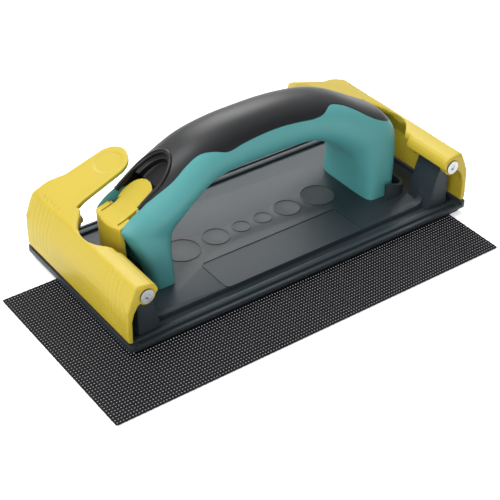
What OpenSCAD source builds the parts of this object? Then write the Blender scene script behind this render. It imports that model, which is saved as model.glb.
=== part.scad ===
// Hand sander for abrasive mesh: base plate, two sprung clamp jaws, bridge handle, release latch.
// Millimetres. +X along the length, +Y to the back, +Z up, mesh underside on z = 0.

/* [Base plate] */
// overall length of the base plate
plate_l = 222; // [220:1:226]
// overall width of the base plate
plate_w = 107; // [106:0.5:109]
// thickness of the grey base above the backing pad
base_t = 3.6; // [3.4:0.1:4]
// thickness of the resilient backing pad
pad_t = 2.85; // [2.5:0.05:3.2]
// inset of the pad from the plate edge
pad_inset = 1.4; // [0.8:0.1:2]

/* [Abrasive mesh] */
// length of the loose mesh sheet
mesh_l = 242; // [236:1:250]
// width of the loose mesh sheet
mesh_w = 115; // [110:1:118]
// thickness of the mesh sheet
mesh_t = 0.9; // [0.8:0.1:1.0]
// gap left between mesh and pad
mesh_gap = 0.05; // [0.05:0.05:0.2]
// how far the sheet's middle lies to the left of the plate's
mesh_left = 20; // [0:0.5:24]
// how far the sheet's middle lies to the front of the plate's
mesh_front = 32.3; // [0:0.1:34]
// openings along the sheet
mesh_cols = 12; // [8:1:12]
// openings across the sheet
mesh_rows = 6; // [4:1:8]
// width of the bars between the openings
mesh_bar = 9; // [6:0.5:10]

/* [Clamp jaws] */
// wall thickness of a jaw
jaw_t = 2.8; // [2.6:0.1:3.0]
// clearance between jaw and base in every direction
jaw_gap = 0.4; // [0.35:0.05:0.6]
// radius of the pivot pin
pin_r = 1.6; // [1.5:0.1:1.8]
// running clearance of a pin in a moving part
pin_gap = 0.3; // [0.3:0.05:0.4]
// reach of the thumb tab past the pivot
tab_reach = 43.5; // [41:0.5:45]
// width of the thumb tab
tab_w = 24.5; // [22:0.5:25]
// thickness of the thumb tab
tab_t = 2.6; // [2.2:0.1:3]
// grip flutes at each end of a jaw
flutes = 5; // [3:1:6]
// spacing of the grip flutes
flute_pitch = 3.6; // [3:0.1:4]
// width of a grip flute
flute_w = 1.4; // [1:0.1:1.8]
// depth of a grip flute
flute_deep = 0.25; // [0.15:0.05:0.4]

/* [Handle] */
// half width of the grip at its narrowest
grip_hw = 17; // [16.4:0.1:17.4]
// thickness of the soft overmould
soft_t = 2.2; // [1.8:0.1:2.6]
// half length of the thumb pocket
pocket_len = 18.5; // [17.5:0.1:19]
// half width of the thumb pocket
pocket_hw = 11.6; // [11.5:0.1:11.8]
// wall of the pocket liner
liner_t = 1.1; // [0.9:0.1:1.3]
// half width of the latch slot
slot_hw = 12.3; // [12.2:0.1:12.6]

/* [Latch] */
// clearance between latch and slot on each side
latch_gap = 0.6; // [0.5:0.05:0.7]
// radius of the latch pin
latch_pin_r = 1.5; // [1.3:0.1:1.6]

/* [Hidden] */
mesh_hem = 4;
pad_z = mesh_t + mesh_gap;
base_z = pad_z + pad_t;
top_z = base_z + base_t;
px = plate_l / 2 - 12.1;
pz = top_z + 25.8;
hw = plate_w / 2;
jaw_hw = hw - 1.6;
edge = hw - 12.2;
boss_in = jaw_hw - 5.2;
tower_out = boss_in - jaw_gap;
tower_in = tower_out - 17.7;
lobe_out = tower_in - 4.8;
lobe_in = lobe_out - 3.6;
cup_out = tower_in - jaw_gap;
boss_r = 5;
head_r = 3.8;
tower_r = 3.5;
keep_x = -84;
lx = -81.2;
lz = top_z + 35;
dz = top_z - 7.4;

// [outer x, outer z, inner x, inner z, half width, squareness, cover angle, cover share, taper]
right_half = [
[84.0, 7.45, 65.0, 7.45, 22.6, 6.0, 84, 0, 0],
  [85.2, 18, 64.8, 14, 22.5, 5.0, 84, 0, 0],
  [86.8, 30, 63.8, 21, 22.2, 4.0, 84, 0, 0],
  [88.2, 39.5, 61.8, 28, 21.8, 3.5, 80, 0, 0.02],
  [88.6, 46.6, 59.0, 33.6, 21.2, 3.1, 66, 0.3, 0.05],
  [84.6, 52.6, 55.8, 37.4, 20.6, 2.8, 40, 1, 0.07],
  [78.0, 57.0, 52.0, 41.0, 20.0, 2.6, 39, 1, 0.07],
  [70.0, 61.8, 48.0, 44.2, 19.4, 2.5, 41, 1, 0.06],
  [61.5, 67.0, 43.0, 47.2, 18.8, 2.4, 47, 1, 0.05],
  [52.0, 72.2, 37.0, 50.0, 18.2, 2.35, 51, 1, 0.04],
  [44.0, 75.5, 32.5, 51.4, 17.8, 2.3, 48, 1, 0.03],
  [38.0, 77.4, 28.5, 52.0, 17.5, 2.25, 27, 1, 0.02],
  [32.0, 78.7, 24.5, 52.3, 17.3, 2.2, 21, 1, 0],
  [20.0, 80.5, 15.5, 52.6, 17.0, 2.2, 21, 1, 0],
  [8.0, 81.5, 6.0, 52.6, 17.0, 2.2, 23, 1, 0]
];
left_half = [
[-6.0, 81.5, -5.0, 52.6, 17.0, 2.2, 22, 1, 0],
  [-18.0, 80.9, -14.0, 52.5, 17.1, 2.2, 19, 1, 0],
  [-29.0, 79.5, -22.0, 52.2, 17.4, 2.2, 18, 1, 0],
  [-36.0, 78.1, -27.5, 51.6, 17.8, 2.25, 33, 1, 0.03],
  [-43.0, 76.1, -31.5, 50.8, 18.3, 2.25, 44, 1, 0.05],
  [-52.0, 72.2, -36.8, 49.1, 19.2, 2.3, 43, 1, 0.12],
  [-62.0, 67.0, -42.4, 46.2, 20.2, 2.4, 37, 1, 0.22],
  [-71.5, 61.0, -46.8, 43.1, 20.6, 2.45, 41, 1, 0.26],
  [-77.0, 57.0, -49.3, 41.0, 20.6, 2.5, 58, 1, 0.26],
  [-81.0, 54.3, -51.2, 39.3, 20.5, 2.55, 70, 0.4, 0.26],
  [-87.6, 50.4, -54.4, 36.4, 20.2, 2.7, 80, 0, 0.22],
  [-91.6, 45.0, -57.2, 33.0, 19.9, 2.8, 84, 0, 0.14],
  [-87.6, 38.0, -60.0, 28.4, 20.8, 3.3, 84, 0, 0.06],
  [-82.6, 28.0, -61.8, 22.0, 21.8, 4.0, 84, 0, 0],
  [-78.6, 18.0, -62.6, 15.0, 22.3, 5.0, 84, 0, 0],
  [-76.2, 7.45, -63.2, 7.45, 22.5, 6.0, 84, 0, 0]
];
stations = concat(right_half, left_half);
grip_from = 4;
grip_to = 23;

module rbox(l, w, r, z0, z1) {
  translate([0, 0, z0])
    linear_extrude(z1 - z0)
      offset(r = r, $fn = 48)
        square([l - 2 * r, w - 2 * r], center = true);
}

// runs children along Y from y0 to y1; children are drawn with X across and Y up
module along_y(y0, y1) {
  translate([0, y1, 0])
    rotate([90, 0, 0])
      linear_extrude(y1 - y0)
        children();
}

module pin_y(x, z, r, y0, y1) {
  translate([x, y1, z])
    rotate([90, 0, 0])
      cylinder(r = r, h = y1 - y0, $fn = 64);
}

// ---- loft of the bridge handle ----
function sp(v, n) = sign(v) * pow(abs(v), 2 / n);
function wide(s) = s[4] * (1 + (grip_hw / 17 - 1) * max(0, min(1, (22.3 - s[4]) / 5)));
function on_sec(s, t, g) =
  let (c = cos(t), k = sin(t), ax = (s[0] - s[2]) / 2, az = (s[1] - s[3]) / 2,
    h = sp(k, s[5]), vx = ax * h, vy = -wide(s) * sp(c, s[5]) * (1 - s[8] * max(h, 0)), vz = az * h,
    d = sqrt(vx * vx + vy * vy + vz * vz), f = 1 - g / d)
  [(s[0] + s[2]) / 2 + f * vx, f * vy, (s[1] + s[3]) / 2 + dz + f * vz];
function lower_arc(s, n) = [for (i = [0:n]) on_sec(s, 180 - s[6] + (180 + 2 * s[6]) * i / n, 0)];
function upper_arc(s, n, e, g) = [for (i = [0:n]) on_sec(s, s[6] + e + (180 - 2 * s[6] - 2 * e) * i / n, g)];
function core_sec(s) = concat(lower_arc(s, 17), upper_arc(s, 11, 2, s[7] * soft_t));
function rev(v) = [for (i = [len(v) - 1:-1:0]) v[i]];
function soft_sec(s) = concat(upper_arc(s, 11, 2.6, 0), rev(upper_arc(s, 11, 2.6, s[7] * (soft_t - 0.05))));

module loft(rows) {
  m = len(rows);
  n = len(rows[0]);
  pts = [for (r = rows) for (p = r) p];
  side = [for (i = [0:m - 2]) for (j = [0:n - 1]) for (k = [0, 1])
    k == 0 ? [i * n + j, (i + 1) * n + j, i * n + (j + 1) % n]
    : [i * n + (j + 1) % n, (i + 1) * n + j, (i + 1) * n + (j + 1) % n]];
  cap0 = [for (j = [1:n - 2]) [0, j, j + 1]];
  cap1 = [for (j = [1:n - 2]) [(m - 1) * n, (m - 1) * n + j + 1, (m - 1) * n + j]];
  polyhedron(points = pts, faces = concat(side, cap0, cap1), convexity = 8);
}

// ---- pocket and latch space ----
// pocket: half an ellipse towards the palm, straight sides down to the latch
module pocket_cut(grow, depth) {
  side = pocket_hw + grow - 0.2;
  translate([-69, 0, top_z + 55.6])
    rotate([0, -37, 0])
      translate([0, 0, -depth])
        union() {
          linear_extrude(depth + 20)
            scale([(pocket_len + grow) / (pocket_hw + grow), 1])
              circle(r = pocket_hw + grow, $fn = 64);
          translate([-30, -side, 0])
            cube([29, 2 * side, depth + 20]);
        }
}

// room for the latch: a tall slot between the prongs and a shaft up into the pocket
module latch_space() {
  translate([-110, -slot_hw, top_z - 1])
    cube([110 - 71.5, 2 * slot_hw, 34]);
  along_y(-slot_hw, slot_hw)
    polygon([[-110, top_z + 30], [-71.5, top_z + 30], [-60, top_z + 43], [-62, top_z + 45],
      [-80, top_z + 45], [-84, top_z + 60], [-110, top_z + 60]]);
}

module handle() {
  color([0.30, 0.62, 0.62])
    difference() {
      loft([for (s = stations) core_sec(s)]);
      pocket_cut(0, 13);
      latch_space();
      pin_y(lx, lz, latch_pin_r, -16.5, 16.5);
    }
}

module soft_grip() {
  color([0.20, 0.22, 0.23])
    difference() {
      loft([for (i = [grip_from:grip_to]) soft_sec(stations[i])]);
      pocket_cut(0, 13);
      latch_space();
    }
}

module thumb_pocket() {
  tongue_room = pocket_hw - liner_t;
  color([0.04, 0.04, 0.05])
    difference() {
      intersection() {
        pocket_cut(-0.1, 12.9);
        along_y(-14, 14)
          polygon([[-77.4, top_z + 35], [-77.4, top_z + 45.6], [-73.4, top_z + 48.6], [-69.6, top_z + 51.8], [-61, top_z + 58.2],
            [-50, top_z + 63.6], [-40, top_z + 60], [-45, top_z + 35]]);
      }
      pocket_cut(-liner_t, 9.5);
      // round-ended opening in the floor for the latch to swing through
      translate([-70.8, 0, top_z + 30])
        cylinder(r = tongue_room, h = 25, $fn = 64);
      translate([-90, -tongue_room + 0.1, top_z + 30])
        cube([18, 2 * tongue_room - 0.2, 25]);
    }
}

// ---- base ----
// flange, groove and rounded ridge along a long edge
module rail_profile() {
  polygon([[-hw, base_z], [-hw + 0.1, base_z + 1.8], [-hw + 0.5, base_z + 2.1], [-hw + 1.7, base_z + 2.1],
    [-hw + 1.9, base_z + 1.1], [-hw + 3.5, base_z + 1.1], [-hw + 3.8, base_z + 2.4], [-hw + 4.5, base_z + 2.8],
    [-hw + 6.7, base_z + 2.8], [-hw + 7.3, base_z + 2.4], [-hw + 7.5, base_z]]);
}

module tower(y0, y1) {
  difference() {
    union() {
      along_y(y0, y1)
        polygon([[px - 10.7, base_z + 0.5], [px - 10, top_z + 1], [px - 6.2, top_z + 16.6],
          [px - 3, top_z + 25.6], [px + 3, top_z + 25.6], [px + 2.6, top_z + 5], [px + 2.6, base_z + 0.5]]);
      pin_y(px, pz, tower_r, y0, y1);
    }
    pin_y(px, pz, pin_r, y0 - 1, y1 + 1);
  }
}

// hollow curve from the platform up onto the tower's inner face
module tower_fillet(y0, y1) {
  along_y(y0, y1)
    difference() {
      translate([px - 15.2, top_z - 0.4])
        square([7.4, 6]);
      translate([px - 15.4, top_z + 6])
        circle(r = 6, $fn = 96);
    }
}

// raised middle of the plate with rounded corners, and a narrower tongue out to each end
module platform_outline() {
  union() {
    offset(r = 3, $fn = 64)
      square([2 * px - 20, 2 * edge - 6], center = true);
    square([2 * (px - 1), 2 * (tower_in - 1.2)], center = true);
  }
}

module ring_line(x, r) {
  translate([x, 0, top_z - 0.2])
    difference() {
      cylinder(r = r + 0.35, h = 0.5, $fn = 96);
      translate([0, 0, -0.1])
        cylinder(r = r - 0.35, h = 0.7, $fn = 96);
    }
}

module panel_line() {
  translate([0, 0, top_z - 0.25])
    linear_extrude(0.6)
      difference() {
        offset(r = 3, $fn = 40)
          square([84.8, 19.4], center = true);
        offset(r = 2.5, $fn = 40)
          square([84.8, 19.4], center = true);
      }
}

// low wall that cups the right foot of the handle
module foot_rim() {
  intersection() {
    translate([0, 0, top_z - 0.2])
      linear_extrude(12)
        difference() {
          translate([60, 0])
            offset(r = 9, $fn = 64)
              square([2 * 22, 2 * 18], center = true);
          translate([60, 0])
            offset(r = 7.2, $fn = 64)
              square([2 * 22, 2 * 18], center = true);
        }
    along_y(-30, 30)
      polygon([[74, top_z - 0.5], [74, top_z + 9.9], [78, top_z + 9], [84, top_z + 6.6],
        [92, top_z + 4.6], [92, top_z - 0.5]]);
  }
}

// block behind the latch plate with an overhang that holds the hook lip
module keeper() {
  along_y(-9, 9)
    polygon([[keep_x + 4, top_z - 0.2], [keep_x + 4, top_z + 7.8], [keep_x - 1.2, top_z + 7.8],
      [keep_x - 2.2, top_z + 6.8], [keep_x - 2.2, top_z + 5.2], [keep_x, top_z + 5.2], [keep_x, top_z - 0.2]]);
}

module base_plate() {
  color([0.27, 0.30, 0.31])
    union() {
      rbox(plate_l, plate_w, 2.5, base_z, base_z + 1);
      // end ledges
      for (s = [-1, 1])
        intersection() {
          rbox(plate_l, plate_w, 2.5, base_z, top_z - 0.3);
          translate([s * (plate_l / 2 - 1.8) - 1.8, -hw - 1, base_z])
            cube([3.6, plate_w + 2, base_t]);
        }
      // double rails along the long edges
      for (s = [0, 180])
        rotate([0, 0, s])
          intersection() {
            rbox(plate_l, plate_w, 2.5, base_z, base_z + 3.5);
            translate([-plate_l / 2 + 3.4, 0, 0])
              rotate([90, 0, 90])
                linear_extrude(plate_l - 6.8)
                  rail_profile();
          }
      // closed ends of the rail groove
      for (sx = [-1, 1])
        for (sy = [-1, 1])
          translate([sx * (plate_l / 2 - 5) - 1.6, sy * (hw - 3.9) - 3.2, base_z + 0.5])
            cube([3.2, 6.4, 1.9]);
      translate([0, 0, base_z])
        linear_extrude(base_t - 0.5)
          platform_outline();
      translate([0, 0, top_z - 0.5])
        linear_extrude(0.5)
          offset(delta = -0.35)
            platform_outline();
      for (sx = [0, 1])
        mirror([sx, 0, 0]) {
          tower(-tower_out, -tower_in);
          tower(tower_in, tower_out);
          tower_fillet(-edge + 0.3, -edge + 4.8);
          tower_fillet(edge - 4.8, edge - 0.3);
        }
      for (p = [[45.9, 10], [24.05, 7.5], [7.2, 5]])
        for (s = [-1, 1])
          ring_line(s * p[0], p[1]);
      translate([0, -28.9, 0])
        panel_line();
      foot_rim();
      keeper();
    }
}

module backing_pad() {
  color([0.05, 0.05, 0.055])
    rbox(plate_l - 2 * pad_inset, plate_w - 2 * pad_inset, 2, pad_z, base_z);
}

// open weave, drawn coarse: one opening stands for a patch of the real holes
module sanding_mesh() {
  pitch_x = (mesh_l - mesh_hem) / mesh_cols;
  pitch_y = (mesh_w - mesh_hem) / mesh_rows;
  color([0.10, 0.10, 0.11])
    translate([-mesh_left - mesh_l / 2, -mesh_front - mesh_w / 2, 0])
      linear_extrude(mesh_t)
        difference() {
          square([mesh_l, mesh_w]);
          for (i = [0:mesh_cols - 1], j = [0:mesh_rows - 1])
            translate([mesh_hem / 2 + pitch_x * (i + 0.5), mesh_hem / 2 + pitch_y * (j + 0.5)])
              square([pitch_x - mesh_bar, pitch_y - mesh_bar], center = true);
        }
}

// ---- clamp jaw, drawn for the +X end, pivot at u = 0 ----
// outer outline of the jaw's section, drawn in by less
module jaw_outline(less) {
  zb = top_z - 7.4;
  offset(r = 1.8 - less, $fn = 48)
    offset(delta = -1.8)
      polygon([[11.9, zb + 8], [11.9, zb + 21], [11.6, zb + 25.2], [10.7, zb + 29.4], [9.2, zb + 33.6],
        [6.2, zb + 40.4], [-0.4, zb + 39.9], [-2.6, zb + 39.3], [-3.8, zb + 38], [-4.1, zb + 36.6],
        [-4.1, zb + 20], [0, zb + 8]]);
}
module jaw_band() {
  zb = top_z - 7.4;
  difference() {
    jaw_outline(0);
    polygon([[11.9 - jaw_t, zb + 7], [11.7 - jaw_t, zb + 27], [6.2 - 0.62 * jaw_t, zb + 40.4 - jaw_t],
      [0, zb + 39.9 - jaw_t], [-5, zb + 38 - jaw_t], [-6, zb + 7]]);
  }
}
// shallow flutes near both ends of the jaw's outer face
module jaw_flutes() {
  for (s = [-1, 1], i = [0:flutes - 1])
    let (y = s * (jaw_hw - 9 - i * flute_pitch))
      along_y(y - flute_w / 2, y + flute_w / 2)
        difference() {
          translate([3, 14])
            square([12, 28]);
          jaw_outline(flute_deep);
        }
}

// height of the tab's top face above the plate level at distance u from the pivot
function tab_z(u) = 40.9 + 0.303 * (4.5 - u);

module tab_band() {
  zb = top_z - 7.4;
  r = tab_reach;
  polygon([[5.2, zb + 40.7], [4.6, zb + 38], [-3, zb + tab_z(-3) - 3.4], [-12, zb + tab_z(-12) - tab_t],
    [-r, zb + tab_z(-r) - tab_t], [-r, zb + tab_z(-r)]]);
}

module tab_plan() {
  y1 = jaw_hw - 3.2;
  y0 = y1 - tab_w;
  union() {
    hull() {
      translate([-tab_reach + 10, y1 - 10])
        circle(r = 10, $fn = 64);
      translate([-tab_reach + 12.2, y1 - 12])
        circle(r = 11.5, $fn = 64);
      polygon([[-4, y0 - 1.9], [-14, y0 - 0.9], [-26, y0 + 0.4], [-26, y1], [-4, y1]]);
    }
    polygon([[7, y0 - 4], [-1, y0 - 4], [-4, y0 - 2.6], [-8, y0 - 1.6], [-12, y0], [-12, y1], [-8, y1 + 1.6],
      [-4, y1 + 3], [0, jaw_hw], [7, jaw_hw]]);
  }
}

module jaw() {
  zb = top_z - 7.4;
  color([0.93, 0.78, 0.16])
    translate([px, 0, 0])
      difference() {
        union() {
          difference() {
            union() {
              along_y(-jaw_hw, jaw_hw)
                jaw_band();
              // ramp from the tab's root down to the jaw's top
              intersection() {
                along_y(-jaw_hw, jaw_hw)
                  polygon([[5.6, zb + 38.6], [5.2, zb + 40.7], [-4, zb + 43.4], [-4, zb + 37.8]]);
                translate([0, jaw_hw - 3.2 - tab_w - 4, 0])
                  rotate([0, 90, 0])
                    linear_extrude(30, center = true)
                      polygon([[-zb - 38, -19], [-zb - 39.9, -19], [-zb - 40.3, -13], [-zb - 41.4, -7], [-zb - 42.9, -2.4],
                        [-zb - 43.9, 0.6], [-zb - 38, 0.6]]);
              }
            }
            // scooped inner edge that clears the latch
            translate([0, 0, zb + 30])
              linear_extrude(20)
                polygon([[-10, -14.5], [-4.1, -16], [-1.8, -14], [0.6, -11.5], [3, -8.5], [4.8, -4.5], [5.3, 0],
                  [4.8, 4], [3, 9], [0.6, 12.5], [-1.8, 15], [-4, 18.5], [-10, 19]]);
          }
          intersection() {
            along_y(-jaw_hw, jaw_hw)
              tab_band();
            linear_extrude(100)
              tab_plan();
          }
          for (s = [-1, 1]) {
            // end wall and boss
            along_y(s > 0 ? boss_in : -jaw_hw, s > 0 ? jaw_hw : -boss_in)
              translate([0, pz])
                circle(r = boss_r, $fn = 64);
            along_y(s > 0 ? jaw_hw - 2.8 : -jaw_hw, s > 0 ? jaw_hw : -jaw_hw + 2.8)
              polygon([[11.6, zb + 20.5], [11.6, zb + 27.5], [6.2, zb + 40], [-2.4, zb + 39], [-4.8, zb + 37],
                [0, zb + 30], [4.6, zb + 30], [7.6, zb + 25.4], [8.6, zb + 21.6]]);
            // inner lobe under the top wall
            along_y(s > 0 ? lobe_in : -lobe_out, s > 0 ? lobe_out : -lobe_in)
              union() {
                translate([0, pz])
                  circle(r = boss_r, $fn = 64);
                polygon([[-2.4, zb + 39.2], [-4.4, zb + 37.4], [-5, pz + 1], [4.8, pz + 1], [5.6, zb + 40]]);
              }
            // cup over the wound spring, open below for its leg
            difference() {
              along_y(s > 0 ? lobe_out - 0.1 : -cup_out, s > 0 ? cup_out : -lobe_out + 0.1)
                union() {
                  translate([0, pz])
                    circle(r = boss_r, $fn = 64);
                  polygon([[-2.4, zb + 39.2], [-4.4, zb + 37.4], [-5, pz + 1], [4.8, pz + 1], [5.6, zb + 40]]);
                }
              pin_y(0, pz, boss_r - 1.2, -jaw_hw, jaw_hw);
              along_y(-jaw_hw, jaw_hw)
                polygon([[0, pz], [-6, pz - 0.2], [-6, pz - 7], [6, pz - 7], [0.8, pz]]);
            }
            // skirt in front of the tower's top
            along_y(s > 0 ? lobe_in : -jaw_hw, s > 0 ? jaw_hw : -lobe_in)
              polygon([[-0.6, zb + 39.8], [-2.8, zb + 39.4], [-4.6, zb + 38.4], [-5.8, zb + 36.8], [-6.4, zb + 34.8],
                [-6.5, pz + 0.2], [-4.9, pz - 0.2], [-4.8, zb + 35.8], [-2.6, zb + 37]]);
          }
        }
        jaw_flutes();
        pin_y(0, pz, pin_r + pin_gap, -jaw_hw - 1, jaw_hw + 1);
        for (s = [-1, 1])
          pin_y(0, pz, head_r + 0.35, s > 0 ? jaw_hw - 0.9 : -jaw_hw - 1, s > 0 ? jaw_hw + 1 : -jaw_hw + 0.9);
        // shallow thumb rest on the tab
        intersection() {
          translate([-tab_reach + 11.4, jaw_hw - 15, 0])
            linear_extrude(100)
              scale([1, 1.05])
                circle(r = 7.6, $fn = 64);
          along_y(0, jaw_hw)
            polygon([[0, zb + tab_z(0) - 0.5], [-60, zb + tab_z(-60) - 0.5], [-60, zb + 70], [0, zb + 70]]);
        }
      }
}

module right_clamp() {
  jaw();
}

module left_clamp() {
  mirror([1, 0, 0])
    jaw();
}

// ---- pivots; s and t pick the end and the side ----
module pivot_screw(s, t) {
  color([0.80, 0.81, 0.82])
    mirror([s > 0 ? 0 : 1, 0, 0])
      mirror([0, t > 0 ? 1 : 0, 0])
        difference() {
          union() {
            pin_y(px, pz, head_r, -jaw_hw - 0.35, -jaw_hw + 0.6);
            pin_y(px, pz, pin_r, -jaw_hw, -lobe_in + 2.8);
          }
          translate([px, -jaw_hw + 0.35, pz])
            rotate([90, 0, 0])
              cylinder(r = 1.5, h = 2, $fn = 6);
        }
}

module pivot_nut(s, t) {
  color([0.72, 0.73, 0.75])
    mirror([s > 0 ? 0 : 1, 0, 0])
      mirror([0, t > 0 ? 1 : 0, 0])
        difference() {
          union() {
            pin_y(px, pz, 2.7, -lobe_in + 0.3, -lobe_in + 2.4);
            pin_y(px, pz, 2.2, -lobe_in + 2.4, -lobe_in + 3.2);
          }
          pin_y(px, pz, pin_r, -lobe_in - 1, -lobe_in + 2.8);
        }
}

// ---- wound springs: a wire swept along a helix about the Y axis with a straight leg at each end ----
function coil_at(a, r, pitch) = [r * cos(a), pitch * a / 360, r * sin(a)];
function coil_way(a) = [-sin(a), 0, cos(a)];
function coil_out(a) = [cos(a), 0, sin(a)];
function wire_ring(at, way, out, w) =
  [for (k = [0:7]) at + w * (cos(45 * k) * out + sin(45 * k) * cross(way, out))];

module torsion_spring(r, w, pitch, a1, leg0, leg1) {
  steps = round(a1 / 22.5);
  turns = [for (i = [0:steps]) a1 * i / steps];
  rows = concat(
    [wire_ring(coil_at(0, r, pitch) - leg0 * coil_way(0), coil_way(0), coil_out(0), w)],
    [for (a = turns) wire_ring(coil_at(a, r, pitch), coil_way(a), coil_out(a), w)],
    [wire_ring(coil_at(a1, r, pitch) + leg1 * coil_way(a1), coil_way(a1), coil_out(a1), w)]);
  loft(rows);
}

module clamp_spring(s, t) {
  wire_r = 0.45;
  turns = 3.25;
  pitch = (tower_in - lobe_out - 2 * wire_r - 0.5) / turns;
  color([0.62, 0.63, 0.65])
    mirror([s > 0 ? 0 : 1, 0, 0])
      mirror([0, t > 0 ? 1 : 0, 0])
        translate([px, -tower_in + wire_r + 0.25, pz])
          mirror([1, 0, 0])
            torsion_spring(boss_r - 2.3, wire_r, pitch, 360 * turns, 22, 1.5);
}

module pivot_screw_lf() {
  pivot_screw(-1, -1);
}

module pivot_screw_lb() {
  pivot_screw(-1, 1);
}

module pivot_screw_rf() {
  pivot_screw(1, -1);
}

module pivot_screw_rb() {
  pivot_screw(1, 1);
}

module pivot_nut_lf() {
  pivot_nut(-1, -1);
}

module pivot_nut_lb() {
  pivot_nut(-1, 1);
}

module pivot_nut_rf() {
  pivot_nut(1, -1);
}

module pivot_nut_rb() {
  pivot_nut(1, 1);
}

module clamp_spring_lf() {
  clamp_spring(-1, -1);
}

module clamp_spring_lb() {
  clamp_spring(-1, 1);
}

module clamp_spring_rf() {
  clamp_spring(1, -1);
}

module clamp_spring_rb() {
  clamp_spring(1, 1);
}

// ---- latch ----
module latch() {
  w = slot_hw - latch_gap;
  bow = 38;
  front = -91.4;
  color([0.93, 0.78, 0.16])
    difference() {
      union() {
        // top plate with two side arms and the thumb tongue
        intersection() {
          along_y(-w, w)
            polygon([[front, top_z + 36], [front + 0.2, top_z + 36.8], [front + 1.2, top_z + 37.6],
              [-82.3, top_z + 40.1], [-76.5, top_z + 43], [-70, top_z + 47.3], [-64, top_z + 51.9],
              [-62.9, top_z + 49.9], [-69, top_z + 45.2], [-75.6, top_z + 40.7], [-81.4, top_z + 37.8],
              [-88.6, top_z + 35.2]]);
          linear_extrude(100)
            difference() {
              union() {
                intersection() {
                  translate([front + bow, 0])
                    circle(r = bow, $fn = 160);
                  translate([front - 1, -w])
                    square([10, 2 * w]);
                }
                translate([-84, -7.4])
                  square([8, 14.8]);
                translate([-73.4, 0])
                  scale([0.96, 1.06])
                    circle(r = 9.5, $fn = 64);
              }
              for (s = [-1, 1])
                translate([front + 3, s * 8 - 0.45])
                  square([12, 0.9]);
            }
        }
        // bowed front plate that leans in towards its hook
        intersection() {
          translate([front + bow, 0, lz + 0.8])
            rotate([0, -3, 0])
              translate([0, 0, -36.6])
                difference() {
                  cylinder(r = bow, h = 39.6, $fn = 160);
                  translate([0, 0, -1])
                    cylinder(r = bow - 2.4, h = 42, $fn = 160);
                }
          translate([-96, -w, top_z + 1.2])
            cube([14, 2 * w, 35.2]);
        }
        // hook lip under the keeper
        along_y(-8.4, 8.4)
          polygon([[-89, top_z + 1.6], [keep_x - 0.5, top_z + 1.6], [keep_x - 0.5, top_z + 4],
            [keep_x - 1.2, top_z + 4.8], [keep_x - 3, top_z + 4.8], [-88.2, top_z + 8]]);
        // pivot ears
        for (s = [-1, 1])
          along_y(s > 0 ? w - 2.6 : -w, s > 0 ? w : -w + 2.6)
            union() {
              translate([lx, lz])
                circle(r = 3.1, $fn = 48);
              polygon([[lx - 6, lz + 2.6], [lx - 6, lz - 1.2], [lx - 2.4, lz - 2], [lx + 2.4, lz],
                [lx + 0.8, lz + 4.4], [lx - 2, lz + 4]]);
            }
      }
      pin_y(lx, lz, latch_pin_r + pin_gap, -20, 20);
    }
}

module latch_pin() {
  color([0.72, 0.73, 0.75])
    pin_y(lx, lz, latch_pin_r, -16.4, 16.4);
}

module latch_spring() {
  wire_r = 0.3;
  turns = 5.35;
  pitch = 1;
  color([0.62, 0.63, 0.65])
    translate([lx, -pitch * turns / 2, lz])
      torsion_spring(latch_pin_r + wire_r + 0.12, wire_r, pitch, 360 * turns, 12, 5.6);
}

base_plate();
backing_pad();
sanding_mesh();
left_clamp();
right_clamp();
pivot_screw_lf();
pivot_screw_lb();
pivot_screw_rf();
pivot_screw_rb();
pivot_nut_lf();
pivot_nut_lb();
pivot_nut_rf();
pivot_nut_rb();
clamp_spring_lf();
clamp_spring_lb();
clamp_spring_rf();
clamp_spring_rb();
handle();
soft_grip();
thumb_pocket();
latch();
latch_pin();
latch_spring();
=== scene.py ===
import math

import bmesh
import bpy
import numpy as np
from mathutils import Matrix, Vector
from mathutils.bvhtree import BVHTree


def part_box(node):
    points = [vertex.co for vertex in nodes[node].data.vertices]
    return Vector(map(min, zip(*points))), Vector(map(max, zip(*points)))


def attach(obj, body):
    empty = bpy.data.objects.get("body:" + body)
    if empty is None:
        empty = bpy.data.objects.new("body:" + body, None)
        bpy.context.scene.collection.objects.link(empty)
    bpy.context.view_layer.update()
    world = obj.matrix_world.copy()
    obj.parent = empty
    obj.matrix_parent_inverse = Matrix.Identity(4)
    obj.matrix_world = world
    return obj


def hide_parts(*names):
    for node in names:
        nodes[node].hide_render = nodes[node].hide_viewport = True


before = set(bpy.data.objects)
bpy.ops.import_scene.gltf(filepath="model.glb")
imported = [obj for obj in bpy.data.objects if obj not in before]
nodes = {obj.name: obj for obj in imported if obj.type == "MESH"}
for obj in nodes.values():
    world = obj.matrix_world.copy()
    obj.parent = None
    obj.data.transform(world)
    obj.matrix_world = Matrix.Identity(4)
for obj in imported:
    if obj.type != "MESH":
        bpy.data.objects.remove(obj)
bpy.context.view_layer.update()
MM = 0.001
scene = bpy.context.scene

# ---------------------------------------------------------------- camera
AZIMUTH, ELEVATION = math.radians(-35.53), math.radians(36.05)
target = Vector((-10.26, -12.73, 0.0)) * MM
level = math.cos(ELEVATION)
back = Vector((math.sin(AZIMUTH) * level, -math.cos(AZIMUTH) * level, math.sin(ELEVATION)))
CAMERA_DISTANCE = 0.7287
cam_data = bpy.data.cameras.new("camera")
cam_data.lens = 96.1
cam_data.sensor_width = 36.0
cam_data.clip_start = 0.01
camera = bpy.data.objects.new("camera", cam_data)
scene.collection.objects.link(camera)
camera.location = target + back * CAMERA_DISTANCE
camera.rotation_euler = (-back).to_track_quat("-Z", "Y").to_euler()
scene.camera = camera


# ---------------------------------------------------------------- materials
def lin(r, g, b):
    """An 8-bit screen colour as linear RGBA."""
    c = [v / 255 for v in (r, g, b)]
    return tuple(v / 12.92 if v <= 0.04045 else ((v + 0.055) / 1.055) ** 2.4 for v in c) + (1.0,)


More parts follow.
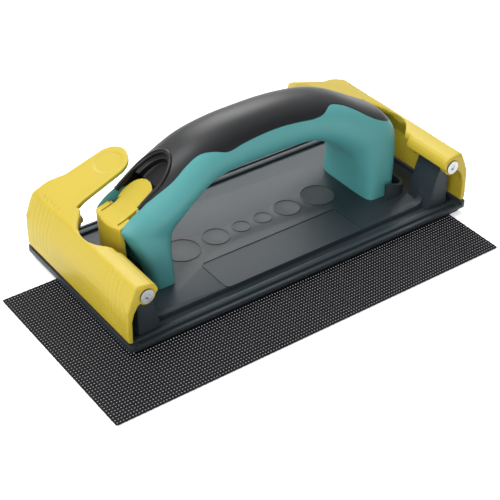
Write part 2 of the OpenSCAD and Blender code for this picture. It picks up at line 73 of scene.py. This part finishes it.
def plastic(name, base, vary, rough, rough_vary, grain, grain_height, specular, sss=0.0):
    """Moulded plastic or rubber: colour that drifts a little, uneven gloss, and a fine surface grain."""
    m = bpy.data.materials.new(name)
    m.use_nodes = True
    nt = m.node_tree
    p = nt.nodes["Principled BSDF"]
    p.inputs["Specular IOR Level"].default_value = specular
    if sss:
        p.inputs["Subsurface Weight"].default_value = sss
        p.inputs["Subsurface Radius"].default_value = (0.004, 0.002, 0.0006)
        p.inputs["Subsurface Scale"].default_value = 0.6
    tc = nt.nodes.new("ShaderNodeTexCoord")
    drift = nt.nodes.new("ShaderNodeTexNoise")
    drift.inputs["Scale"].default_value = 18.0
    drift.inputs["Detail"].default_value = 4.0
    nt.links.new(tc.outputs["Object"], drift.inputs["Vector"])
    ramp = nt.nodes.new("ShaderNodeValToRGB")
    ramp.color_ramp.elements[0].position = 0.3
    ramp.color_ramp.elements[1].position = 0.7
    ramp.color_ramp.elements[0].color = tuple(base[i] * (1 - vary) for i in range(3)) + (1.0,)
    ramp.color_ramp.elements[1].color = tuple(min(1.0, base[i] * (1 + vary)) for i in range(3)) + (1.0,)
    nt.links.new(drift.outputs["Fac"], ramp.inputs["Fac"])
    nt.links.new(ramp.outputs["Color"], p.inputs["Base Color"])
    gloss = nt.nodes.new("ShaderNodeMapRange")
    gloss.inputs["To Min"].default_value = rough - rough_vary
    gloss.inputs["To Max"].default_value = rough + rough_vary
    nt.links.new(drift.outputs["Fac"], gloss.inputs["Value"])
    nt.links.new(gloss.outputs["Result"], p.inputs["Roughness"])
    fine = nt.nodes.new("ShaderNodeTexNoise")
    fine.inputs["Scale"].default_value = grain
    fine.inputs["Detail"].default_value = 3.0
    nt.links.new(tc.outputs["Object"], fine.inputs["Vector"])
    bump = nt.nodes.new("ShaderNodeBump")
    bump.inputs["Strength"].default_value = 0.5
    bump.inputs["Distance"].default_value = grain_height
    nt.links.new(fine.outputs["Fac"], bump.inputs["Height"])
    nt.links.new(bump.outputs["Normal"], p.inputs["Normal"])
    return m


teal = plastic("teal_plastic", lin(84, 156, 157), 0.04, 0.46, 0.05, 900, 0.00005, 0.4)
grip_mat = plastic("grip_rubber", lin(22, 23, 26), 0.08, 0.42, 0.04, 1400, 0.00014, 0.42)
plate_mat = plastic("plate_plastic", lin(38, 47, 52), 0.06, 0.46, 0.05, 1500, 0.00012, 0.38)
yellow = plastic("yellow_plastic", lin(192, 170, 50), 0.03, 0.44, 0.05, 700, 0.00004, 0.4, sss=0.22)
# the pocket's own gloss black, also used as painted shade on the teal cut walls towards the latch
gloss_black = plastic("pocket_black_and_painted_shade", lin(9, 9, 11), 0.10, 0.34, 0.04, 500, 0.00003, 0.35)
foam = plastic("pad_foam", lin(20, 20, 22), 0.25, 0.85, 0.05, 1800, 0.0004, 0.2)


def steel_material():
    """Zinc-plated steel with an uneven gloss."""
    m = bpy.data.materials.new("zinc_steel")
    m.use_nodes = True
    nt = m.node_tree
    p = nt.nodes["Principled BSDF"]
    p.inputs["Metallic"].default_value = 1.0
    tc = nt.nodes.new("ShaderNodeTexCoord")
    noise = nt.nodes.new("ShaderNodeTexNoise")
    noise.inputs["Scale"].default_value = 600.0
    noise.inputs["Detail"].default_value = 5.0
    nt.links.new(tc.outputs["Object"], noise.inputs["Vector"])
    ramp = nt.nodes.new("ShaderNodeValToRGB")
    ramp.color_ramp.elements[0].color = (0.30, 0.32, 0.34, 1)
    ramp.color_ramp.elements[1].color = (0.62, 0.64, 0.66, 1)
    nt.links.new(noise.outputs["Fac"], ramp.inputs["Fac"])
    nt.links.new(ramp.outputs["Color"], p.inputs["Base Color"])
    gloss = nt.nodes.new("ShaderNodeMapRange")
    gloss.inputs["To Min"].default_value = 0.22
    gloss.inputs["To Max"].default_value = 0.40
    nt.links.new(noise.outputs["Fac"], gloss.inputs["Value"])
    nt.links.new(gloss.outputs["Result"], p.inputs["Roughness"])
    return m


steel = steel_material()


def mesh_material():
    """Dark abrasive coating: tiny crystals that glint against a near-black bond."""
    m = bpy.data.materials.new("abrasive_mesh")
    m.use_nodes = True
    nt = m.node_tree
    p = nt.nodes["Principled BSDF"]
    p.inputs["Specular IOR Level"].default_value = 0.2
    tc = nt.nodes.new("ShaderNodeTexCoord")
    grit = nt.nodes.new("ShaderNodeTexVoronoi")
    grit.inputs["Scale"].default_value = 5200.0
    nt.links.new(tc.outputs["Object"], grit.inputs["Vector"])
    ramp = nt.nodes.new("ShaderNodeValToRGB")
    ramp.color_ramp.elements[0].position = 0.05
    ramp.color_ramp.elements[0].color = lin(30, 30, 40)
    ramp.color_ramp.elements[1].position = 0.5
    ramp.color_ramp.elements[1].color = lin(12, 12, 18)
    nt.links.new(grit.outputs["Distance"], ramp.inputs["Fac"])
    nt.links.new(ramp.outputs["Color"], p.inputs["Base Color"])
    gloss = nt.nodes.new("ShaderNodeMapRange")
    gloss.inputs["To Min"].default_value = 0.55
    gloss.inputs["To Max"].default_value = 0.75
    nt.links.new(grit.outputs["Distance"], gloss.inputs["Value"])
    nt.links.new(gloss.outputs["Result"], p.inputs["Roughness"])
    bump = nt.nodes.new("ShaderNodeBump")
    bump.inputs["Strength"].default_value = 0.9
    bump.inputs["Distance"].default_value = 0.00012
    nt.links.new(grit.outputs["Distance"], bump.inputs["Height"])
    nt.links.new(bump.outputs["Normal"], p.inputs["Normal"])
    return m


abrasive = mesh_material()


def clad(obj, mat, angle=32.0):
    """Gives an object one material and smooth shading up to an edge angle."""
    obj.data.materials.clear()
    obj.data.materials.append(mat)
    obj.data.polygons.foreach_set("use_smooth", [True] * len(obj.data.polygons))
    obj.data.set_sharp_from_angle(angle=math.radians(angle))


# the nodes that aren't steel
CLAD = {
    "base_plate": plate_mat,
    "backing_pad": foam,
    "sanding_mesh": abrasive,
    "left_clamp": yellow,
    "right_clamp": yellow,
    "handle": teal,
    "soft_grip": grip_mat,
    "thumb_pocket": gloss_black,
    "latch": yellow,
}
for name, obj in nodes.items():
    clad(obj, CLAD.get(name, steel))


# ---------------------------------------------------------------- mesh helpers
def new_mesh(name, verts, faces, mat, angle=32.0):
    """A new object in the scene from points in metres and faces."""
    me = bpy.data.meshes.new(name)
    me.from_pydata([tuple(v) for v in verts], [], [tuple(f) for f in faces])
    me.update()
    ob = bpy.data.objects.new(name, me)
    scene.collection.objects.link(ob)
    clad(ob, mat, angle)
    return ob


def tube_faces(rows, cols):
    """Quads between closed rings of cols points each, and a cap at each end."""
    faces = [(i * cols + j, i * cols + (j + 1) % cols, (i + 1) * cols + (j + 1) % cols, (i + 1) * cols + j)
             for i in range(rows - 1) for j in range(cols)]
    faces.append(tuple(range(cols))[::-1])
    faces.append(tuple((rows - 1) * cols + j for j in range(cols)))
    return faces


def bake(ob):
    """Turns an object's modifiers into plain mesh."""
    deps = bpy.context.evaluated_depsgraph_get()
    me = bpy.data.meshes.new_from_object(ob.evaluated_get(deps))
    ob.modifiers.clear()
    old = ob.data
    ob.data = me
    bpy.data.meshes.remove(old)


def cut(target_obj, cutter):
    """Takes cutter's volume out of target_obj and removes the cutter."""
    mod = target_obj.modifiers.new("cut", "BOOLEAN")
    mod.operation = "DIFFERENCE"
    mod.solver = "EXACT"
    mod.object = cutter
    bake(target_obj)
    bpy.data.objects.remove(cutter)


def catmull(table, steps):
    """A smooth run through the rows of table, steps values to each gap."""
    t = np.array(table, float)
    ext = np.vstack([2 * t[0] - t[1], t, 2 * t[-1] - t[-2]])
    out = []
    for i in range(1, len(ext) - 2):
        a, b, c, d = ext[i - 1], ext[i], ext[i + 1], ext[i + 2]
        ka = max(np.linalg.norm((b - a)[:4]), 1e-6) ** 0.5
        kb = max(np.linalg.norm((c - b)[:4]), 1e-6) ** 0.5
        kc = max(np.linalg.norm((d - c)[:4]), 1e-6) ** 0.5
        mb = (b - a) / ka - (c - a) / (ka + kb) + (c - b) / kb
        mc = (c - b) / kb - (d - b) / (kb + kc) + (d - c) / kc
        for k in range(steps):
            u = k / steps
            out.append((2 * u**3 - 3 * u**2 + 1) * b + (u**3 - 2 * u**2 + u) * kb * mb
                       + (3 * u**2 - 2 * u**3) * c + (u**3 - u**2) * kb * mc)
    out.append(t[-1])
    return np.array(out)


# ---------------------------------------------------------------- moulded edges
def moulded(node, piece, width, mat, body, angle=34):
    """A copy of a CAD node with its hard edges rolled over, as they come out of a mould."""
    me = nodes[node].data.copy()
    bm = bmesh.new()
    bm.from_mesh(me)
    bmesh.ops.remove_doubles(bm, verts=bm.verts, dist=1e-6)
    bmesh.ops.dissolve_limit(bm, angle_limit=math.radians(1.0), verts=bm.verts, edges=bm.edges)
    bm.to_mesh(me)
    bm.free()
    ob = bpy.data.objects.new(piece, me)
    scene.collection.objects.link(ob)
    mod = ob.modifiers.new("edges", "BEVEL")
    mod.width = width * MM
    mod.segments = 3
    mod.limit_method = "ANGLE"
    mod.angle_limit = math.radians(angle)
    mod.miter_outer = "MITER_ARC"
    bake(ob)
    clad(ob, mat, 48)
    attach(ob, body)
    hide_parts(node)


def softened(node, piece, grain, rounds, mat, body, fold=None):
    """A copy of a CAD node, remeshed and relaxed so that its edges and flutes blend as in a mould."""
    ob = bpy.data.objects.new(piece, nodes[node].data.copy())
    scene.collection.objects.link(ob)
    fine = ob.modifiers.new("fine", "REMESH")
    fine.mode = "VOXEL"
    fine.voxel_size = grain * MM
    ease = ob.modifiers.new("ease", "SMOOTH")
    ease.factor = 0.5
    ease.iterations = rounds
    bake(ob)
    if fold:
        relax_fold(ob, *fold)
    clad(ob, mat, 60)
    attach(ob, body)
    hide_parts(node)


def relax_fold(ob, screw, springs, side):
    """Eases the fold where a jaw's front turns into its tab, so the flutes run out without a step."""
    lo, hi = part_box(screw)
    fold_x = (lo[0] + hi[0]) / 2 + side * FOLD_OUT * MM
    floor_z = max(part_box(name)[1][2] for name in springs) + FOLD_RISE * MM
    group = ob.vertex_groups.new(name="fold")
    for v in ob.data.vertices:
        outside = v.normal.z > 0.1 or v.normal.x * side > 0.3
        if v.co.z > floor_z and outside:
            near = 1 - abs(v.co.x - fold_x) / (FOLD_REACH * MM)
            if near > 0:
                group.add([v.index], min(1.0, near * 2), "REPLACE")
    ease = ob.modifiers.new("ease", "SMOOTH")
    ease.factor = 0.5
    ease.iterations = 40
    ease.vertex_group = "fold"
    bake(ob)


# in millimetres: the fold's line lies this far outside the pivot, the easing starts this far above
# the springs, and it fades out over the reach to each side of the line
FOLD_OUT, FOLD_RISE, FOLD_REACH = 3.9, 0.8, 3.4
left_fold = ("pivot_screw_lf", ("clamp_spring_lf", "clamp_spring_lb"), -1)
right_fold = ("pivot_screw_rf", ("clamp_spring_rf", "clamp_spring_rb"), 1)
softened("left_clamp", "left_jaw_moulding", 0.4, 9, yellow, "left_jaw", left_fold)
softened("right_clamp", "right_jaw_moulding", 0.4, 9, yellow, "right_jaw", right_fold)
softened("latch", "latch_moulding", 0.3, 3, yellow, "latch_body")
moulded("base_plate", "plate_moulding", 0.3, plate_mat, "sander")


# ---------------------------------------------------------------- handle
# The sections along the bridge, in millimetres and degrees: outer x, outer z, inner x, inner z,
# half width, squareness, grip edge angle, grip share, taper of the top.
STATIONS = [
    (84.0, 7.45, 65.0, 7.45, 22.6, 6.0, 84, 0, 0),
    (85.2, 18, 64.8, 14, 22.5, 5.0, 84, 0, 0),
    (86.8, 30, 63.8, 21, 22.2, 4.0, 84, 0, 0),
    (88.2, 39.5, 61.8, 28, 21.8, 3.5, 80, 0, 0.02),
    (88.6, 46.6, 59.0, 33.6, 21.2, 3.1, 78, 0, 0.05),
    (84.6, 52.6, 55.8, 37.4, 20.6, 2.8, 46, 1, 0.07),
    (78.0, 57.0, 52.0, 41.0, 20.0, 2.6, 39, 1, 0.07),
    (70.0, 61.8, 48.0, 44.2, 19.4, 2.5, 41, 1, 0.06),
    (61.5, 67.0, 43.0, 47.2, 18.8, 2.4, 47, 1, 0.05),
    (52.0, 72.2, 37.0, 50.0, 18.2, 2.35, 51, 1, 0.04),
    (44.0, 75.5, 32.5, 51.4, 17.8, 2.3, 48, 1, 0.03),
    (38.0, 77.4, 28.5, 52.0, 17.5, 2.25, 27, 1, 0.02),
    (32.0, 78.7, 24.5, 52.3, 17.3, 2.2, 21, 1, 0),
    (20.0, 80.5, 15.5, 52.6, 17.0, 2.2, 21, 1, 0),
    (8.0, 81.3, 6.0, 52.6, 17.0, 2.2, 23, 1, 0),
    (-6.0, 81.3, -5.0, 52.6, 17.0, 2.2, 22, 1, 0),
    (-18.0, 80.9, -14.0, 52.5, 17.1, 2.2, 19, 1, 0),
    (-29.0, 79.5, -22.0, 52.2, 17.4, 2.2, 18, 1, 0),
    (-36.0, 78.1, -27.5, 51.6, 17.8, 2.25, 33, 1, 0.03),
    (-43.0, 76.1, -31.5, 50.8, 18.3, 2.25, 44, 1, 0.05),
    (-52.0, 72.2, -36.8, 49.1, 19.2, 2.3, 43, 1, 0.12),
    (-62.0, 67.0, -42.4, 46.2, 20.2, 2.4, 37, 1, 0.22),
    (-71.5, 61.0, -46.8, 43.1, 20.6, 2.45, 41, 1, 0.26),
    (-77.0, 57.0, -49.3, 41.0, 20.6, 2.5, 46, 1, 0.26),
    (-81.0, 54.3, -51.2, 39.3, 20.5, 2.55, 54, 0.8, 0.26),
    (-87.6, 50.4, -54.4, 36.4, 20.2, 2.7, 80, 0, 0.22),
    (-91.6, 45.0, -57.2, 33.0, 19.9, 2.8, 84, 0, 0.14),
    (-87.6, 38.0, -60.0, 28.4, 20.8, 3.3, 84, 0, 0.06),
    (-82.6, 28.0, -61.8, 22.0, 21.8, 4.0, 84, 0, 0),
    (-78.6, 18.0, -62.6, 15.0, 22.3, 5.0, 84, 0, 0),
    (-76.2, 7.45, -63.2, 7.45, 22.5, 6.0, 84, 0, 0),
]
STEPS = 6
# the grip's thickness, how far its end may thin out, and how far its edge stands off the seam, in degrees
SOFT = 2.2
THIN_END = 0.02
EDGE_ANGLE = 1.4


def section_point(s, deg, inset):
    """The point at an angle round one cross-section, drawn in by inset."""
    c, k = math.cos(math.radians(deg)), math.sin(math.radians(deg))
    n = s[5]
    h = math.copysign(abs(k) ** (2 / n), k)
    w = math.copysign(abs(c) ** (2 / n), c)
    ax, az = (s[0] - s[2]) / 2, (s[1] - s[3]) / 2
    v = np.array([ax * h, -s[4] * w * (1 - s[8] * max(h, 0)), az * h])
    d = np.linalg.norm(v)
    return np.array([(s[0] + s[2]) / 2, 0, (s[1] + s[3]) / 2]) + v * (1 - inset / d)


rows = catmull(STATIONS, STEPS)
rows[:, 6] = np.clip(rows[:, 6], 12, 86)
rows[:, 7] = np.clip(rows[:, 7], 0, 1)
LOW, TOP = 60, 40


def handle_core():
    """The teal bridge, with a seat sunk into its top for the grip."""
    verts = []
    for s in rows:
        c = s[6]
        under = SOFT * s[7] * 0.96
        lip = min(0.28, under * 0.4)
        for i in range(LOW + 1):
            verts.append(section_point(s, 180 - c + (180 + 2 * c) * i / LOW, 0))
        verts.append(section_point(s, c + 0.5, lip))
        for i in range(TOP + 1):
            verts.append(section_point(s, c + 0.9 + (180 - 2 * c - 1.8) * i / TOP, under))
        verts.append(section_point(s, 180 - c - 0.5, lip))
    cols = LOW + TOP + 4
    return new_mesh("handle_body", np.array(verts) * MM, tube_faces(len(rows), cols), teal)


def grip_skin():
    """The black skin that fills the bridge's seat, its edges rolled down to the seam."""
    use = [s for s in rows if s[7] > THIN_END]
    verts = []
    for s in use:
        c = s[6]
        t = SOFT * s[7]
        e = EDGE_ANGLE
        profile = [(c + 0.8, t * 0.98), (c + 0.8, min(0.45, t * 0.5)), (c + e * 0.9, 0.12)]
        for a, inset in profile:
            verts.append(section_point(s, a, inset))
        for i in range(TOP + 1):
            verts.append(section_point(s, c + e + 0.6 + (180 - 2 * c - 2 * e - 1.2) * i / TOP, 0.0))
        for a, inset in profile[::-1]:
            verts.append(section_point(s, 180 - a, inset))
        for i in range(TOP + 1):
            verts.append(section_point(s, 180 - c - e - (180 - 2 * c - 2 * e) * i / TOP, t * 0.98))
    cols = 2 * TOP + 8
    return new_mesh("grip_skin", np.array(verts) * MM, tube_faces(len(use), cols), grip_mat)


handle = handle_core()
grip = grip_skin()


def foam_pad():
    """Foam slab with rounded corners and sides that pull in above and below the middle."""
    lo, hi = (Vector(v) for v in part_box("backing_pad"))
    mid, half = (lo + hi) / 2, (hi - lo) / 2
    corner = 4 * MM
    # (height as a share of half the thickness, how far the side is drawn in)
    levels = [(-1.0, 1.3), (-0.86, 0.5), (-0.45, 0.12), (0.0, 0.0), (0.45, 0.12), (0.86, 0.5), (1.0, 1.3)]
    ring = []
    for sx, sy, start in ((1, 1, 0), (-1, 1, 90), (-1, -1, 180), (1, -1, 270)):
        for k in range(9):
            a = math.radians(start + k * 90 / 8)
            ring.append((sx * (half.x - corner), sy * (half.y - corner), math.cos(a), math.sin(a)))
    verts = []
    for level, inset in levels:
        r = corner - inset * MM
        verts += [(mid.x + cx + r * c, mid.y + cy + r * k, mid.z + level * half.z) for cx, cy, c, k in ring]
    cols = len(ring)
    return new_mesh("foam_slab", verts, tube_faces(len(levels), cols), foam, 60)


pad = foam_pad()
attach(pad, "sander")
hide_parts("backing_pad")

# ---------------------------------------------------------------- thumb pocket and latch space
TILT = Matrix.Rotation(math.radians(-37), 4, "Y")
POCKET_AT = Vector((-69, 0, 63)) * MM
POCKET_LEN, POCKET_HW = 18.5, 11.6
POCKET_BACK = 26.0
POCKET_DEPTH = 13
LEDGE = -4.6


def pocket_at(x, y, z):
    """A point given in the tilted pocket's own axes, in millimetres."""
    return POCKET_AT + TILT.to_3x3() @ (Vector((x, y, z)) * MM)


def pocket_plan(grow, back=POCKET_BACK, n=72):
    """Half an ellipse towards the palm and straight sides down to the latch, from near side to far."""
    side = POCKET_HW + grow - 0.2
    run = [back * (1 - k / 8) for k in range(8)]
    arc = [((POCKET_LEN + grow) * math.cos(a), (POCKET_HW + grow) * math.sin(a))
           for a in (math.pi * (i / n - 0.5) for i in range(1, n))]
    return [(-r, -side) for r in run] + arc + [(-r, side) for r in reversed(run)]


def pocket_prism(name, height=20.0):
    """The cutter that opens the pocket."""
    plan = pocket_plan(0.0)
    n = len(plan)
    verts = [pocket_at(x, y, z) for z in (-POCKET_DEPTH, height) for x, y in plan]
    faces = [(i, (i + 1) % n, n + (i + 1) % n, n + i) for i in range(n)]
    faces.append(tuple(range(n))[::-1])
    faces.append(tuple(range(n, 2 * n)))
    return new_mesh(name, verts, faces, gloss_black)


def prism_y(name, outline, y0, y1):
    """A straight bar along Y with the given outline in X and Z, in millimetres."""
    n = len(outline)
    verts = [(x * MM, y * MM, z * MM) for y in (y0, y1) for x, z in outline]
    faces = [tuple(range(n)), tuple(range(n, 2 * n))[::-1]]
    faces += [(i, n + i, n + (i + 1) % n, (i + 1) % n) for i in range(n)]
    ob = new_mesh(name, verts, faces, teal)
    bm = bmesh.new()
    bm.from_mesh(ob.data)
    bmesh.ops.recalc_face_normals(bm, faces=bm.faces)
    bm.to_mesh(ob.data)
    bm.free()
    return ob


# half width of the space around the latch, and its outline in X and Z
SLOT = 12.3
SHAFT = [(-110, 6.4), (-71.5, 6.4), (-71.5, 37.4), (-60, 50.4),
         (-62, 52.4), (-80, 52.4), (-84, 67.4), (-110, 67.4)]
# half width of the gap the tongue swings in, and its outline
TONGUE = POCKET_HW - 1.3
TONGUE_GAP = [(-110, 37.4), (-68, 37.4), (-60.6, 49.4), (-60.6, 54.0), (-68, 62), (-110, 62)]
# the height over the pocket from which its rim is probed
PROBE = 30

grip_tree = BVHTree.FromObject(grip, bpy.context.evaluated_depsgraph_get())
handle_tree = BVHTree.FromObject(handle, bpy.context.evaluated_depsgraph_get())


def rim_height(x, y):
    """How high the grip's surface lies along the pocket's axis over a point of its plan, in millimetres."""
    start = pocket_at(x, y, PROBE)
    way = TILT.to_3x3() @ Vector((0, 0, -1))
    best = None
    for tree in (grip_tree, handle_tree):
        hit = tree.ray_cast(start, way)
        if hit[0] is not None and (best is None or hit[3] < best):
            best = hit[3]
    return PROBE - best / MM if best is not None else 0.0


def pocket_bowl():
    """Gloss liner: a rolled rim on the grip's surface, walls, a ledge, and the floor under the latch."""
    mouth = 13.0
    outline = pocket_plan(0.0, mouth)
    n = len(outline)
    tops = [rim_height(x * 0.992, y * 0.992) for x, y in outline]
    # (inset from the rim, kind, value): "rim" is over the surface, "abs" a depth, "mix" a share of both
    profile = [(-0.10, "rim", -0.8), (-0.12, "rim", -0.05), (0.10, "rim", 0.12), (0.42, "rim", 0.10),
               (0.70, "rim", -0.14), (0.84, "rim", -0.7), (0.95, "mix", 0.6), (1.05, "abs", LEDGE),
               (1.3, "abs", -5.0), (2.6, "abs", -5.3), (2.95, "abs", -5.6), (3.1, "abs", -6.4),
               (3.3, "abs", -8.4), (4.0, "abs", -9.2), (5.6, "abs", -9.5), (8.6, "abs", -9.5)]
    verts = []
    for inset, kind, v in profile:
        for (x, y), top in zip(pocket_plan(-inset, mouth), tops):
            if kind == "rim":
                z = top + v
            elif kind == "mix":
                z = (top - 0.7) * v + LEDGE * (1 - v)
            else:
                z = v
            verts.append(pocket_at(x, y, z))
    faces = [(i * n + j, (i + 1) * n + j, (i + 1) * n + j + 1, i * n + j + 1)
             for i in range(len(profile) - 1) for j in range(n - 1)]
    faces.append(tuple((len(profile) - 1) * n + j for j in range(n))[::-1])
    ob = new_mesh("pocket_bowl", verts, faces, gloss_black, 50)
    mod = ob.modifiers.new("wall", "SOLIDIFY")
    mod.thickness = 0.0008
    mod.offset = -1
    bake(ob)
    return ob


bowl = pocket_bowl()
cut(handle, pocket_prism("cut_a"))
cut(grip, pocket_prism("cut_b"))
cut(handle, prism_y("cut_c", SHAFT, -SLOT, SLOT))
cut(grip, prism_y("cut_d", SHAFT, -SLOT, SLOT))
cut(bowl, prism_y("cut_e", TONGUE_GAP, -TONGUE, TONGUE))
clad(handle, teal)
clad(grip, grip_mat)
clad(bowl, gloss_black, 50)


def paint_pocket_black_and_shade(ob):
    """The walls that the pocket's cut leaves in a piece are painted gloss black: beside the bowl this is the
    pocket's own black, and towards the latch it is painted shade for the dark gap there.
    """
    ob.data.materials.append(gloss_black)
    into_plan = TILT.to_3x3().inverted()
    for face in ob.data.polygons:
        x, y, z = into_plan @ (face.center - POCKET_AT) / MM
        round_end = x > 0 and (x / POCKET_LEN) ** 2 + (y / POCKET_HW) ** 2 < 1.02
        straight = -POCKET_BACK < x <= 0 and abs(y) < POCKET_HW + 0.05
        if z > -POCKET_DEPTH - 0.1 and (round_end or straight):
            # painted shade: these cut walls take the gloss black, the pocket's own black beside the bowl and
            # painted shade in the gap towards the latch
            face.material_index = 1


# painted shade on the cut walls of the handle and the grip, next to the pocket's real black
paint_pocket_black_and_shade(handle)
paint_pocket_black_and_shade(grip)
for piece, node, slot_name in ((handle, "handle", "handle"), (grip, "soft_grip", "grip"),
                               (bowl, "thumb_pocket", "pocket")):
    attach(piece, "sander")
    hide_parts(node)


# ---------------------------------------------------------------- abrasive mesh sheet
# openings along and across, and in millimetres: half widths of the strands, half thickness, and weave height
OPENINGS = (142, 57)
ALONG_HALF, ACROSS_HALF, STRAND_TALL, WEAVE = 0.84, 0.70, 0.22, 0.08
# a strand's width between its knots, as a share
SLIM = 0.84


def lattice():
    """Two sets of flat strands that pass over and under each other, and the sheet's length and width."""
    lo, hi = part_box("sanding_mesh")
    lo, hi = lo / MM, hi / MM
    nx, ny = OPENINGS
    mid = (lo[2] + hi[2]) / 2
    pitch_x = (hi[0] - lo[0] - 1.0) / nx
    pitch_y = (hi[1] - lo[1] - 1.2) / ny
    x0, y0 = lo[0] + 0.5, lo[1] + 0.6
    sides = 6
    verts, faces = [], []

    def strand(points, wide, tall, along_x):
        base = len(verts)
        for x, y, z, fat in points:
            for j in range(sides):
                a = 2 * math.pi * (j + 0.5) / sides
                u, v = wide * fat * math.cos(a), tall * math.sin(a)
                at = (x, y + u, z + v) if along_x else (x + u, y, z + v)
                verts.append(tuple(w * MM for w in at))
        n = len(points)
        for k in range(n - 1):
            for j in range(sides):
                a, b = base + k * sides + j, base + k * sides + (j + 1) % sides
                q = (a, b, b + sides, a + sides)
                faces.append(q[::-1] if along_x else q)
        end = base + (n - 1) * sides
        first = tuple(base + j for j in range(sides))
        last = tuple(end + j for j in range(sides))
        faces.append(first if along_x else first[::-1])
        faces.append(last[::-1] if along_x else last)

    for r in range(ny + 1):
        y = y0 + r * pitch_y
        pts = []
        for k in range(2 * nx + 1):
            knot = k % 2 == 0
            up = 1 if (k // 2 + r) % 2 == 0 else -1
            pts.append((x0 + k * pitch_x / 2, y, mid + (WEAVE * up if knot else 0), 1.0 if knot else SLIM))
        strand(pts, ALONG_HALF, STRAND_TALL, True)
    for c in range(nx + 1):
        x = x0 + c * pitch_x
        pts = []
        for k in range(2 * ny + 1):
            knot = k % 2 == 0
            up = -1 if (k // 2 + c) % 2 == 0 else 1
            pts.append((x, y0 + k * pitch_y / 2, mid + (WEAVE * up if knot else 0), 1.0 if knot else SLIM))
        strand(pts, ACROSS_HALF, STRAND_TALL, False)
    ob = new_mesh("mesh_sheet", verts, faces, abrasive, 80)
    size = hi - lo
    return ob, size[0] * MM, size[1] * MM


sheet_obj, sheet_l, sheet_w = lattice()
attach(sheet_obj, "loose_sheet")
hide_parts("sanding_mesh")


# ---------------------------------------------------------------- stage and light
def floor_material():
    """Pale floor that takes the object's shadow; the camera and reflections see it a little lighter."""
    m = bpy.data.materials.new("floor_white")
    m.use_nodes = True
    nt = m.node_tree
    p = nt.nodes["Principled BSDF"]
    p.inputs["Base Color"].default_value = (0.9, 0.9, 0.9, 1)
    p.inputs["Roughness"].default_value = 0.9
    p.inputs["Specular IOR Level"].default_value = 0.1
    p.inputs["Emission Color"].default_value = (1, 1, 1, 1)
    path = nt.nodes.new("ShaderNodeLightPath")
    seen = nt.nodes.new("ShaderNodeMath")
    seen.operation = "MAXIMUM"
    nt.links.new(path.outputs["Is Camera Ray"], seen.inputs[0])
    nt.links.new(path.outputs["Is Glossy Ray"], seen.inputs[1])
    lift = nt.nodes.new("ShaderNodeMath")
    lift.operation = "MULTIPLY"
    lift.inputs[1].default_value = 0.42
    nt.links.new(seen.outputs[0], lift.inputs[0])
    nt.links.new(lift.outputs[0], p.inputs["Emission Strength"])
    return m


bpy.ops.mesh.primitive_plane_add(size=6, location=(0, 0, -0.0002))
floor = bpy.context.object
floor.name = "floor"
floor.data.materials.append(floor_material())


def studio_world():
    """White behind the object; for light and reflections a soft tent, bright above and behind."""
    world = bpy.data.worlds.new("studio")
    scene.world = world
    world.use_nodes = True
    nt = world.node_tree
    bg = nt.nodes["Background"]
    tc = nt.nodes.new("ShaderNodeTexCoord")
    toward = nt.nodes.new("ShaderNodeVectorMath")
    toward.operation = "DOT_PRODUCT"
    toward.inputs[1].default_value = Vector((0.10, 0.52, 0.85)).normalized()
    nt.links.new(tc.outputs["Generated"], toward.inputs[0])
    tent = nt.nodes.new("ShaderNodeMapRange")
    tent.interpolation_type = "SMOOTHSTEP"
    tent.inputs["From Min"].default_value = 0.0
    tent.inputs["From Max"].default_value = 0.95
    tent.inputs["To Min"].default_value = 0.21
    tent.inputs["To Max"].default_value = 0.95
    nt.links.new(toward.outputs["Value"], tent.inputs["Value"])
    path = nt.nodes.new("ShaderNodeLightPath")
    pick = nt.nodes.new("ShaderNodeMix")
    pick.data_type = "FLOAT"
    nt.links.new(path.outputs["Is Camera Ray"], pick.inputs[0])
    nt.links.new(tent.outputs["Result"], pick.inputs[2])
    pick.inputs[3].default_value = 1.0
    nt.links.new(pick.outputs[0], bg.inputs["Strength"])
    bg.inputs["Color"].default_value = (1, 1, 1, 1)


studio_world()


def softbox(name, at, size, power, aim=(0, 0, 0.03)):
    """A round area light of that size in metres and power in watts, aimed at the middle of the object."""
    d = bpy.data.lights.new(name, "AREA")
    d.shape = "DISK"
    d.size = size
    d.energy = power
    o = bpy.data.objects.new(name, d)
    scene.collection.objects.link(o)
    o.location = Vector(at)
    o.rotation_euler = (Vector(at) - Vector(aim)).to_track_quat("Z", "Y").to_euler()


softbox("key", (-0.45, 0.25, 1.25), 0.7, 8.5)
softbox("back", (0.55, 0.95, 0.95), 0.7, 8)
softbox("fill", (-0.9, -0.8, 0.55), 0.8, 8)

scene.view_settings.view_transform = "Standard"
